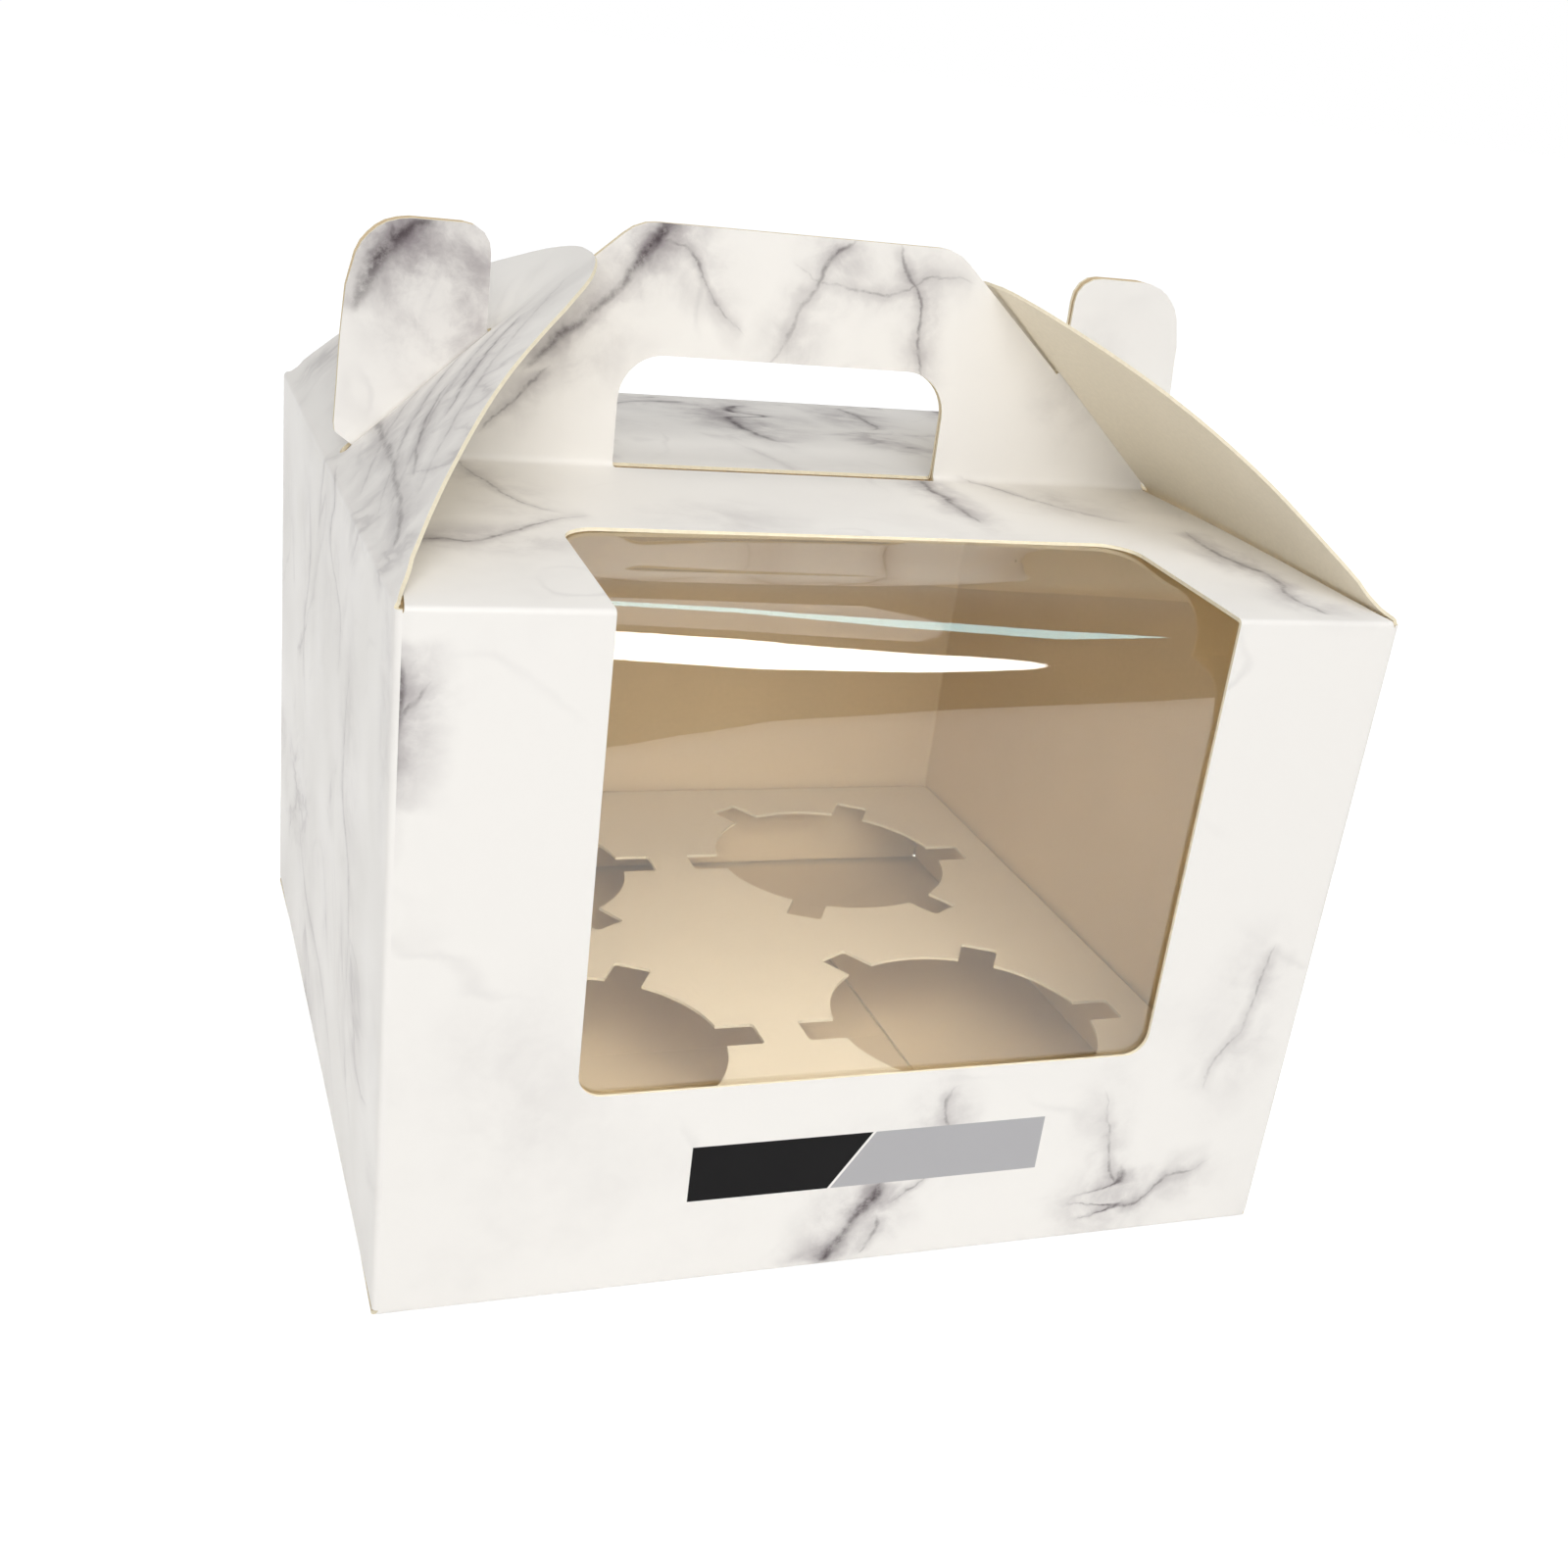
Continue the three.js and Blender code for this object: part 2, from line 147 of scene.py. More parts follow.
def weld(parts):
    """The corners and triangles of all parts in space, with corners at one place joined."""
    keys, corners, triangles, uvs, inks = {}, [], [], [], []
    for flat, faces, place, shift, ink in parts:
        number = {}
        for i in np.unique(faces):
            p = place(flat[i][0], flat[i][1])
            key = tuple(np.round(np.array(p) / WELD).astype(int))
            if key not in keys:
                keys[key] = len(corners)
                corners.append(p)
            number[i] = keys[key]
        for face in faces:
            triangle = [number[i] for i in face]
            if len(set(triangle)) == 3:
                triangles.append(triangle)
                inks.append(ink)
                uvs.append([(flat[i][0] + shift[0], flat[i][1] + shift[1]) for i in face])
    return np.array(corners), triangles, uvs, inks


def thicken(v, triangles, uvs, inks, thickness):
    """Outer skin, inner skin and cut edge: corners, faces, their UVs and their material slots."""
    t = np.array(triangles)
    n = np.zeros_like(v)
    face_n = np.cross(v[t[:, 1]] - v[t[:, 0]], v[t[:, 2]] - v[t[:, 0]])
    for i in range(3):
        np.add.at(n, t[:, i], face_n)
    n /= np.maximum(np.linalg.norm(n, axis=1), 1e-9)[:, None]
    count = len(v)
    both = np.vstack([v, v - n * thickness]) * MM
    directed = {}
    for triangle, uv in zip(triangles, uvs):
        for i in range(3):
            directed[triangle[i], triangle[(i + 1) % 3]] = (uv[i], uv[(i + 1) % 3])
    faces = [tuple(x) for x in triangles] + [tuple(count + i for i in reversed(x)) for x in triangles]
    loops = list(uvs) + [list(reversed(uv)) for uv in uvs]
    slots = inks + [1] * len(triangles)
    for (a, b), (ua, ub) in directed.items():
        if (b, a) not in directed:
            faces.append((b, a, a + count, b + count))
            loops.append([ub, ua, ua, ub])
            slots.append(2)
    return both, faces, loops, slots


def build(name, parts, materials, body, nodes, thickness=BOARD):
    """One sheet piece. Each part is (flat, faces, place, shift, ink).

    place puts a flat point on the outer skin, shift moves its UV, and ink is its material's slot.
    Slot 1 is the inner skin and slot 2 the cut edge. A piece without a body is left unattached.
    """
    both, faces, loops, slots = thicken(*weld(parts), thickness)
    mesh = bpy.data.meshes.new(name)
    mesh.from_pydata(both.tolist(), [], faces)
    layer = mesh.uv_layers.new(name="sheet")
    layer.data.foreach_set("uv", np.array([c for f in loops for c in f], float).ravel() / UV_SCALE)
    mesh.polygons.foreach_set("material_index", slots)
    mesh.polygons.foreach_set("use_smooth", [True] * len(faces))
    for material in materials:
        mesh.materials.append(material)
    mesh.update()
    mesh.validate()
    mesh.set_sharp_from_angle(angle=SHARP_ANGLE)
    obj = bpy.data.objects.new(name, mesh)
    bpy.context.scene.collection.objects.link(obj)
    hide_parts(*nodes)
    if body:
        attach(obj, body)
    return obj


class Path:
    """A line seen from the side, read by the distance along it."""

    def __init__(self, points, start):
        self.points = np.array(points, float)
        lengths = np.linalg.norm(np.diff(self.points, axis=0), axis=1)
        self.at = np.concatenate([[0], np.cumsum(lengths)]) + start

    def __call__(self, v):
        return (np.interp(v, self.at, self.points[:, 0]), np.interp(v, self.at, self.points[:, 1]))


# Materials


class Nodes:
    """A material and short ways to add nodes to it."""

    def __init__(self, name):
        self.material = bpy.data.materials.new(name)
        self.material.use_nodes = True
        self.tree = self.material.node_tree
        self.shader = self.tree.nodes["Principled BSDF"]

    def add(self, kind, **values):
        node = self.tree.nodes.new(kind)
        for key, value in values.items():
            setattr(node, key, value)
        return node

    def put(self, target, value):
        if hasattr(value, "node"):
            self.tree.links.new(value, target)
        else:
            target.default_value = value

    def math(self, operation, a, b=0.0, clamp=False):
        node = self.add("ShaderNodeMath", operation=operation, use_clamp=clamp)
        self.put(node.inputs[0], a)
        self.put(node.inputs[1], b)
        return node.outputs[0]

    def vector(self, operation, a, b):
        node = self.add("ShaderNodeVectorMath", operation=operation)
        self.put(node.inputs[0], a)
        self.put(node.inputs["Scale"] if operation == "SCALE" else node.inputs[1], b)
        return node.outputs[0]

    def noise(self, vector, scale, detail=3.0, rough=0.55, distortion=0.0):
        node = self.add("ShaderNodeTexNoise")
        self.put(node.inputs["Vector"], vector)
        node.inputs["Scale"].default_value = scale
        node.inputs["Detail"].default_value = detail
        node.inputs["Roughness"].default_value = rough
        node.inputs["Distortion"].default_value = distortion
        return node

    def remap(self, value, low, high, to_low=0.0, to_high=1.0, smooth=True):
        node = self.add("ShaderNodeMapRange", clamp=True)
        node.interpolation_type = "SMOOTHSTEP" if smooth else "LINEAR"
        self.put(node.inputs["Value"], value)
        for key, number in zip(("From Min", "From Max", "To Min", "To Max"), (low, high, to_low, to_high)):
            node.inputs[key].default_value = number
        return node.outputs[0]

    def mix(self, share, a, b):
        node = self.add("ShaderNodeMix", data_type="RGBA")
        self.put(node.inputs[0], share)
        self.put(node.inputs[6], a)
        self.put(node.inputs[7], b)
        return node.outputs[2]

    def curve(self, value, points):
        node = self.add("ShaderNodeFloatCurve")
        self.put(node.inputs["Value"], value)
        line = node.mapping.curves[0]
        points = sorted(points)
        while len(line.points) < len(points):
            line.points.new(0.5, 0.5)
        for spot, (x, y) in zip(line.points, points):
            spot.location = (x, y)
        node.mapping.update()
        return node.outputs[0]


def linear(r, g, b):
    """A linear colour from display values of 0 to 255."""
    return tuple(((c / 255) / 12.92 if c <= 10 else ((c / 255 + 0.055) / 1.055) ** 2.4)
                 for c in (r, g, b)) + (1.0,)


def paper_bump(n, coordinates, strength, scale):
    """The faint grain of paper: a bump of 0.04 mm."""
    fine = n.noise(coordinates, scale, detail=2.0)
    bump = n.add("ShaderNodeBump")
    bump.inputs["Strength"].default_value = strength
    bump.inputs["Distance"].default_value = 0.04 * MM
    n.put(bump.inputs["Height"], fine.outputs["Fac"])
    n.put(n.shader.inputs["Normal"], bump.outputs["Normal"])


FIBRE_SCALE = 90.0


def plain_card(name, colour, rough, spots=0.5):
    """Unprinted card: slow tones and fine fibres between a darker and a lighter shade."""
    n = Nodes(name)
    place = n.add("ShaderNodeUVMap", uv_map="sheet").outputs[0]
    tone = n.remap(n.noise(place, 2.2).outputs["Fac"], 0.35, 0.7)
    fibre = n.remap(n.noise(place, FIBRE_SCALE, rough=0.7).outputs["Fac"], 0.3, 0.75)
    dark = tuple(c * 0.93 for c in colour[:3]) + (1.0,)
    light = tuple(min(1.0, c * 1.03) for c in colour[:3]) + (1.0,)
    share = n.math("ADD", n.math("MULTIPLY", tone, 1 - spots), n.math("MULTIPLY", fibre, spots))
    n.put(n.shader.inputs["Base Color"], n.mix(share, dark, light))
    n.shader.inputs["Roughness"].default_value = rough
    n.shader.inputs["Specular IOR Level"].default_value = 0.3
    paper_bump(n, place, 0.05, FIBRE_SCALE)
    return n.material


# Veins of the print, given on the unfolded sheet: points, core width, strength at each point.
# Front wall: u is X and v is Z. Top panel: v is about 195 + Y. Handle: v is about 78 + Z.
# Left side: u is 300 - Y. Right side: u is Y - 300. The back is like the front, with 500 more in v.
VEINS = [
    ([(-24, 237), (-25.3, 232.7), (-27, 230.2), (-28.5, 228), (-32, 224), (-37, 219), (-42, 214.6),
      (-46, 211), (-49, 208)], 1.3, [1, 1, 1, 0.95, 0.6, 0.6, 0.75, 0.45, 0.1]),
    ([(-26.5, 230.5), (-22, 231), (-18.6, 228.5), (-14, 222), (-7.7, 216)], 0.5, [0.8, 0.4, 0.55, 0.4, 0]),
    ([(10.9, 236), (8.5, 234), (6.7, 232.3), (3.7, 227.6), (0.7, 222.4), (-1.3, 216.3), (-6, 210)],
     0.8, [0.5, 0.6, 0.65, 0.5, 0.4, 0.3, 0]),
    ([(17.5, 235.4), (20.3, 229.7), (23.4, 224.8), (24.5, 215.3), (27.4, 209)], 0.5,
     [0.3, 0.6, 0.6, 0.5, 0.1]),
    ([(-3.2, 231.6), (6.5, 227), (17, 226.1), (27, 230), (35, 229)], 0.5, [0, 0.3, 0.4, 0.3, 0]),
    ([(-43.4, 210.4), (-49.7, 203.4), (-56.2, 197.2)], 0.6, [0.4, 0.5, 0.2]),
    ([(-62, 233), (-67.5, 229.5), (-71.5, 226), (-74, 222), (-77, 216)], 1.9, [0.5, 0.9, 1, 0.7, 0.4]),
    ([(-71.6, 226), (-70.6, 229.5), (-74, 231.2)], 0.7, [0.8, 0.6, 0.3]),
    ([(-77, 138), (-69.1, 145.3), (-65, 144.1), (-58.1, 149.2), (-50.7, 155.8), (-42, 160)], 0.6,
     [0.2, 0.6, 0.5, 0.6, 0.4, 0]),
    ([(-58, 194), (-56, 176.5), (-52, 164.5), (-43.6, 159.6)], 0.5, [0.3, 0.4, 0.4, 0.1]),
    ([(28.5, 194), (27.3, 185.8), (26.6, 170), (26.2, 161.9)], 0.7, [0.5, 0.7, 0.6, 0.3]),
    ([(34, 194), (39.8, 191.4), (45.2, 181.2), (52.5, 171.7), (60, 166)], 0.5, [0.2, 0.4, 0.4, 0.3, 0]),
    ([(68.2, 163.4), (66.5, 150.4), (67.5, 142.6), (69, 135.7), (67, 125), (70, 117)], 0.7,
     [0.2, 0.6, 0.6, 0.5, 0.5, 0.4]),
    ([(3.5, 17), (3.6, 14.2), (1.2, 11.1), (-0.6, 8.7), (-3, 4), (-4.3, 1.5), (-4.2, 0)], 1.1,
     [0.4, 0.95, 1, 0.7, 0.9, 1, 1]),
    ([(3.9, 11.2), (9, 13.6), (12.8, 18.1), (14.2, 23.9), (13.4, 31.6), (17.5, 35)], 0.5,
     [0.9, 0.5, 0.5, 0.45, 0.4, 0]),
    ([(-4.4, 1.0), (0.8, 1.5), (3.1, 4.2), (4.2, 10)], 0.6, [0.9, 0.5, 0.5, 0.5]),
    ([(50.5, 15), (50.3, 11), (50.5, 6.2), (48, 3.0), (43, 3.6), (41, 8)], 1.0,
     [0.3, 0.8, 1, 0.7, 0.4, 0.1]),
    ([(50.5, 5.8), (55.4, 6.3), (60.4, 11), (65.4, 11.5), (70, 15)], 0.5, [0.9, 0.6, 0.5, 0.35, 0]),
    ([(43.5, 31), (46.7, 18.6), (49.9, 10)], 0.5, [0.1, 0.4, 0.6]),
    ([(-79.6, 112), (-79.3, 105), (-79.5, 98), (-79.8, 90), (-80, 84)], 0.8, [0.1, 0.75, 0.8, 0.55, 0]),
    ([(-80, 99), (-77.4, 101.9), (-74.3, 105.4)], 0.8, [0.8, 0.6, 0.1]),
    ([(71, 58), (70.4, 52.3), (68.8, 42.7), (64.7, 35.1), (63.1, 27)], 0.6, [0, 0.35, 0.35, 0.3, 0]),
    ([(291, 118), (312, 114), (308, 104), (324, 96), (322, 84)], 0.8, [0.1, 0.35, 0.3, 0.25, 0]),
    ([(266, 106), (278, 94), (270, 74), (276, 60)], 0.6, [0, 0.25, 0.22, 0]),
    ([(340, 92), (333, 70), (343, 56), (338, 30)], 0.7, [0, 0.3, 0.25, 0]),
    ([(261, 42), (276, 26), (308, 20), (330, 4)], 0.6, [0, 0.25, 0.2, 0]),
    ([(244, 130), (280, 128), (312, 126.5), (341, 125), (363, 120)], 1.0, [0.2, 0.45, 0.5, 0.4, 0.5]),
    ([(321, 141), (331, 133), (348, 127.6)], 0.7, [0.3, 0.5, 0.2]),
    ([(312, 157), (327, 144), (338, 135)], 0.7, [0.4, 0.5, 0.2]),
    ([(306, 167), (322, 154), (340, 139), (356, 126)], 1.4, [0.1, 0.2, 0.24, 0.1]),
    ([(303, 158), (316, 147), (334, 132), (350, 121)], 1.6, [0.1, 0.3, 0.2, 0.1]),
    ([(296, 150), (312, 140), (326, 130), (346, 119)], 1.2, [0.2, 0.34, 0.3, 0.1]),
    ([(286, 146), (302, 136), (318, 126), (330, 118)], 1.5, [0.1, 0.24, 0.28, 0.1]),
    ([(-9.1, 669.6), (-6.7, 644), (-10.4, 635.5), (-16.8, 638.8), (-22.4, 624.7)], 1.0,
     [0.4, 0.8, 0.9, 0.7, 0.4]),
    ([(17, 638), (7.7, 627), (-3.9, 625.2)], 0.6, [0.3, 0.5, 0.5]),
    ([(-34.3, 650), (-40.2, 642), (-39.6, 620)], 0.7, [0.4, 0.6, 0.4]),
    ([(-68.6, 648), (-66.7, 620), (-69.5, 608)], 0.6, [0.3, 0.5, 0.3]),
    ([(-60, 505), (-48, 540), (-52, 575), (-38, 610)], 0.9, [0.5, 0.8, 0.5, 0.2]),
    ([(30, 500), (34, 530), (20, 548), (24, 580), (10, 600)], 0.8, [0.6, 0.7, 0.6, 0.4, 0.1]),
    ([(-330, 20), (-318, 50), (-322, 80), (-300, 112), (-296, 130)], 0.9, [0.3, 0.6, 0.6, 0.5, 0.2]),
    ([(-262, 0), (-270, 30), (-258, 62), (-266, 96)], 0.8, [0.8, 0.5, 0.5, 0.1]),
]
# Soft grey patches: centre, half sizes, strength.
PATCHES = [
    (-68, 228, 12, 14, 1.15), (-60, 222, 15, 16, 1.0), (-58, 208, 9, 8, 0.4), (-27, 231, 9, 8, 0.75),
    (-40, 214, 12, 9, 0.45), (-17, 226, 9, 6, 0.4), (7, 229, 9, 8, 0.6), (0, 216, 7, 10, 0.4),
    (22, 228, 7, 8, 0.5), (25, 214, 4, 10, 0.35), (-53, 202, 8, 5, 0.4), (58, 212, 9, 12, 0.3),
    (-62, 146, 15, 8, 0.6), (-54, 168, 8, 16, 0.35), (-20, 160, 14, 12, 0.3), (27, 175, 5, 20, 0.5),
    (50, 178, 10, 12, 0.4), (67, 146, 6, 16, 0.6), (70, 120, 8, 6, 0.4), (-80.5, 98, 3, 18, 0.6),
    (0, 9, 10, 9, 0.7), (13, 25, 7, 11, 0.5), (4, 20, 20, 8, 0.3),
    (49, 7, 11, 8, 0.65), (62, 10, 9, 6, 0.35), (45, 26, 6, 10, 0.3), (68, 42, 9, 18, 0.3),
    (-60, 40, 12, 20, 0.15), (311, 104, 20, 16, 0.25), (272, 92, 12, 22, 0.25), (338, 76, 12, 26, 0.3),
    (270, 34, 16, 16, 0.2), (374, 100, 6, 22, 0.35), (300, 128, 60, 6, 0.22), (336, 140, 15, 8, 0.25),
    (-9, 640, 16, 26, 0.9), (14, 628, 16, 12, 0.6), (-38, 632, 10, 22, 0.7), (-68, 622, 9, 24, 0.5),
    (30, 655, 22, 12, 0.3), (-50, 545, 18, 40, 0.5), (26, 540, 16, 36, 0.5), (-318, 70, 20, 40, 0.45),
    (-264, 50, 14, 40, 0.45), (0, 728, 40, 10, 0.4),
]
LABEL = dict(u0=-30.2, u1=32.8, v0=15.9, v1=26.2, cut_top=1.2, cut_low=-5.6)
SIDE_SHIFT = 300.0
BACK_SHIFT = 500.0
# How strongly the freely drawn veins show on each side.
DRAWN = {"front": 0.0, "left": 0.55, "right": 1.0, "back": 1.0}
PRINT_WHITE = linear(247, 244, 239)
CLOUD_GREY = linear(208, 204, 202)
HALO_GREY = linear(158, 150, 152)
HAIR_GREY = linear(140, 134, 138)
VEIN_GREY = linear(120, 110, 115)
VEIN_DARK = linear(66, 54, 58)
LABEL_BLACK = linear(12, 11, 12)
LABEL_GREY = linear(182, 181, 183)


def label_fields(n, flat):
    """The label on the front wall: black and grey fields with a slanted white line between them."""
    spot = n.add("ShaderNodeSeparateXYZ")
    n.put(spot.inputs[0], flat)
    x, z = spot.outputs[0], spot.outputs[1]
    lab = LABEL
    middle_u, half_u = (lab["u0"] + lab["u1"]) / 2, (lab["u1"] - lab["u0"]) / 2
    middle_v, half_v = (lab["v0"] + lab["v1"]) / 2, (lab["v1"] - lab["v0"]) / 2
    box = n.math("MULTIPLY",
                 n.remap(n.math("ABSOLUTE", n.math("SUBTRACT", x, middle_u)), half_u, half_u + 0.12, 1, 0),
                 n.remap(n.math("ABSOLUTE", n.math("SUBTRACT", z, middle_v)), half_v, half_v + 0.12, 1, 0))
    slope = (lab["cut_top"] - lab["cut_low"]) / (lab["v1"] - lab["v0"])
    cut = n.math("SUBTRACT", x, n.math("ADD", n.math("MULTIPLY", n.math("SUBTRACT", z, lab["v0"]), slope),
                                       lab["cut_low"]))
    field = n.mix(n.remap(cut, -0.06, 0.06), LABEL_BLACK, LABEL_GREY)
    gap = n.remap(n.math("ABSOLUTE", cut), 0.22, 0.34, 1, 0)
    field = n.mix(gap, field, PRINT_WHITE)
    return box, field


def region(u, v):
    """The side of the box that a place on the unfolded sheet belongs to."""
    if v >= 400:
        return "back"
    return "left" if u > 150 else "right" if u < -150 else "front"


def vein_marks(n, u, v, line, width, strength):
    """Core, middle and halo of one vein, as how strongly each place is marked."""
    us, vs = zip(*line)
    upright = max(vs) - min(vs) >= max(us) - min(us)
    along, across = (vs, us) if upright else (us, vs)
    t, s = (v, u) if upright else (u, v)
    a0, a1 = min(along), max(along)
    s0, s1 = min(across) - 0.5, max(across) + 0.5
    share = n.remap(t, a0, a1, smooth=False)
    half = (a1 - a0) / 2
    from_middle = n.math("ABSOLUTE", n.math("SUBTRACT", t, a0 + half))
    inside_run = n.remap(from_middle, half - 2.5, half, 1, 0)
    spots = sorted({round((a - a0) / (a1 - a0), 4): ((c - s0) / (s1 - s0), k)
                    for a, c, k in zip(along, across, strength)}.items())
    path = n.curve(share, [(x, c) for x, (c, k) in spots])
    power = n.math("MULTIPLY", n.curve(share, [(x, k) for x, (c, k) in spots]), inside_run)
    where = n.remap(path, 0.0, 1.0, s0, s1, smooth=False)
    away = n.math("ABSOLUTE", n.math("SUBTRACT", s, where))
    reach = n.math("MULTIPLY", n.math("ADD", power, 0.35), width * 1.25)
    core = n.math("MULTIPLY", n.remap(n.math("DIVIDE", away, reach), 0.0, 1.0, 1.0, 0.0), power)
    mid = n.math("MULTIPLY", n.remap(away, 0.0, width * 3 + 0.8, 1.0, 0.0), power)
    halo = n.math("MULTIPLY", n.remap(away, 0.0, width * 8 + 3, 1.0, 0.0), power)
    return core, mid, halo


def patch_mark(n, bent, cu, cv, ru, rv, strength):
    """One soft grey patch."""
    away = n.vector("MULTIPLY", n.vector("SUBTRACT", bent, (cu, cv, 0)), (1 / ru, 1 / rv, 0))
    length = n.add("ShaderNodeVectorMath", operation="LENGTH")
    n.put(length.inputs[0], away)
    return n.remap(length.outputs["Value"], 0.1, 1.45, strength, 0.0)


def drawn_marks(n, flat, bent, gain):
    """Freely drawn veins, for the places that the photograph doesn't show well: middle and halo."""
    mask = n.remap(n.noise(flat, 0.02, detail=2.0).outputs["Fac"], 0.46, 0.64)
    drawn = n.noise(bent, 0.0115, detail=5.0, distortion=1.2).outputs["Fac"]
    bold = n.math("ABSOLUTE", n.math("SUBTRACT", drawn, 0.5))
    mid = n.math("MULTIPLY", n.remap(bold, 0.0, 0.018, 0.75 * gain, 0.0), mask)
    halo = n.math("MULTIPLY", n.remap(bold, 0.0, 0.07, 0.5 * gain, 0.0), mask)
    return mid, halo


def printed_card(where_to):
    """The print of one side, with only that side's veins and patches."""
    veins = [vein for vein in VEINS if region(*vein[0][0]) == where_to]
    patches = [patch for patch in PATCHES if region(*patch[:2]) == where_to]
    n = Nodes("marble_" + where_to)
    uv = n.add("ShaderNodeUVMap", uv_map="sheet").outputs[0]
    flat = n.vector("SCALE", uv, UV_SCALE)
    # Three noises bend the veins: slow sweeps, and the fine wobble of a crack.
    bent = flat
    for size, reach in ((0.06, 3.0), (0.22, 1.9), (0.8, 0.7)):
        shove = n.vector("SUBTRACT", n.noise(flat, size, detail=2.0).outputs["Color"], (0.5, 0.5, 0.5))
        bent = n.vector("ADD", n.vector("MULTIPLY", shove, (reach, reach, 0)), bent)
    part = n.add("ShaderNodeSeparateXYZ")
    n.put(part.inputs[0], bent)
    u, v = part.outputs[0], part.outputs[1]
    core_all, mid_all, halo_all = 0.0, 0.0, 0.0
    for vein in veins:
        core, mid, halo = vein_marks(n, u, v, *vein)
        core_all = n.math("MAXIMUM", core_all, core)
        mid_all = n.math("MAXIMUM", mid_all, mid)
        halo_all = n.math("MAXIMUM", halo_all, halo)
    for patch in patches:
        halo_all = n.math("MAXIMUM", halo_all, patch_mark(n, bent, *patch))
    # The cores break up into knots and hairlines, and the halos into smoke.
    broken = n.remap(n.noise(flat, 0.4, detail=4.0, rough=0.65).outputs["Fac"], 0.36, 0.6, 0.3, 1.0)
    smoke = n.noise(bent, 0.085, detail=6.0, rough=0.62, distortion=0.25).outputs["Fac"]
    smoke = n.math("ADD", n.math("MULTIPLY", n.remap(smoke, 0.36, 0.68), 0.85), 0.18)
    core_all = n.math("MULTIPLY", core_all, broken)
    halo_all = n.math("MULTIPLY", halo_all, smoke)
    if DRAWN[where_to]:
        mid, halo = drawn_marks(n, flat, bent, DRAWN[where_to])
        mid_all = n.math("MAXIMUM", mid_all, mid)
        halo_all = n.math("MAXIMUM", halo_all, halo)
    # Every side has faint hairlines and clouds.
    ridge = n.noise(bent, 0.024, detail=2.0, rough=0.5, distortion=0.6).outputs["Fac"]
    ridge = n.math("ABSOLUTE", n.math("SUBTRACT", ridge, 0.5))
    thin = n.remap(n.noise(flat, 0.03, detail=2.0).outputs["Fac"], 0.5, 0.7)
    hair = n.math("MULTIPLY", n.remap(ridge, 0.0, 0.02, 0.12, 0.0), thin)
    cloud = n.remap(n.noise(bent, 0.018, detail=5.0, rough=0.6).outputs["Fac"], 0.5, 0.8, 0.0, 0.32)
    colour = n.mix(cloud, PRINT_WHITE, CLOUD_GREY)
    for mark, share, shade in ((halo_all, 0.85, HALO_GREY), (hair, 1.0, HAIR_GREY),
                               (mid_all, 0.5, VEIN_GREY), (core_all, 0.88, VEIN_DARK)):
        colour = n.mix(n.math("MULTIPLY", mark, share, True), colour, shade)
    if where_to == "front":
        box, field = label_fields(n, flat)
        colour = n.mix(box, colour, field)
        n.put(n.shader.inputs["Specular IOR Level"], n.remap(box, 0.0, 1.0, 0.22, 0.1))
    else:
        n.shader.inputs["Specular IOR Level"].default_value = 0.22
    n.put(n.shader.inputs["Base Color"], colour)
    rough = n.remap(n.noise(flat, 0.05).outputs["Fac"], 0.3, 0.7, 0.46, 0.56)
    n.put(n.shader.inputs["Roughness"], rough)
    paper_bump(n, uv, 0.06, 60.0)
    return n.material


def shade_tinted_film():
    """Clear plastic film given a faint warm tint, which is painted shade: it darkens the inside of the box
    seen through it.
    """
    n = Nodes("window_film_shade_tint")
    # The warm tint is painted shade on the inside seen through the film, not a tint of the film itself.
    n.shader.inputs["Base Color"].default_value = linear(238, 234, 226)
    n.shader.inputs["Transmission Weight"].default_value = 1.0
    n.shader.inputs["Roughness"].default_value = 0.02
    n.shader.inputs["IOR"].default_value = 1.5
    return n.material


PRINTS = {name: printed_card(name) for name in ("front", "back", "left", "right")}
# The unprinted inside of the board comes in two copies. Its cream is the card's own colour. The darker,
# warmer copy for the inside of the box and the tray's underside is painted shade, and the lighter copy for
# the lock flaps' undersides is painted light.
INSIDE_PAINTED_SHADE = plain_card("card_inside_painted_shade", linear(231, 211, 175), 0.6)
FLAP_INSIDE_PAINTED_LIGHT = plain_card("flap_inside_painted_light", linear(242, 233, 213), 0.6)
EDGE = plain_card("card_cut_edge", linear(242, 232, 206), 0.8, 0.8)
TRAY = plain_card("card_insert", linear(234, 222, 199), 0.56)
CARD = [PRINTS["front"], INSIDE_PAINTED_SHADE, EDGE, PRINTS["back"], PRINTS["left"], PRINTS["right"]]
FRONT_INK, BACK_INK, LEFT_INK, RIGHT_INK = 0, 3, 4, 5

# Front and back sheets: bottom flap, wall, top panel and handle layer

FOLD = 0.8
CORNER = 1.0
TOP_BEND = 0.95
WALL_HALF = HW - CORNER
WALL_SPAN = 2 * WALL_HALF
FRONT_BOW, BACK_BOW, SIDE_BOW = 0.35, 0.6, 0.5
PANEL_BOW, PANEL_SPAN = 0.45, 170
EAR_LOW, EAR_TOP, EAR_SPREAD = 138, 155.6, 1.15
GRIP_HALF, GRIP_TOP, GRIP_R = 31, 136.4, 8
WINDOW_HALF, WINDOW_LOW, WINDOW_ON_TOP = 50, 37.2, 37.1
Z_LOW, Z_HIGH = 1.0, 114.0
PANEL_END = (-2.2, 116.9)
RIM_Z = 118.3
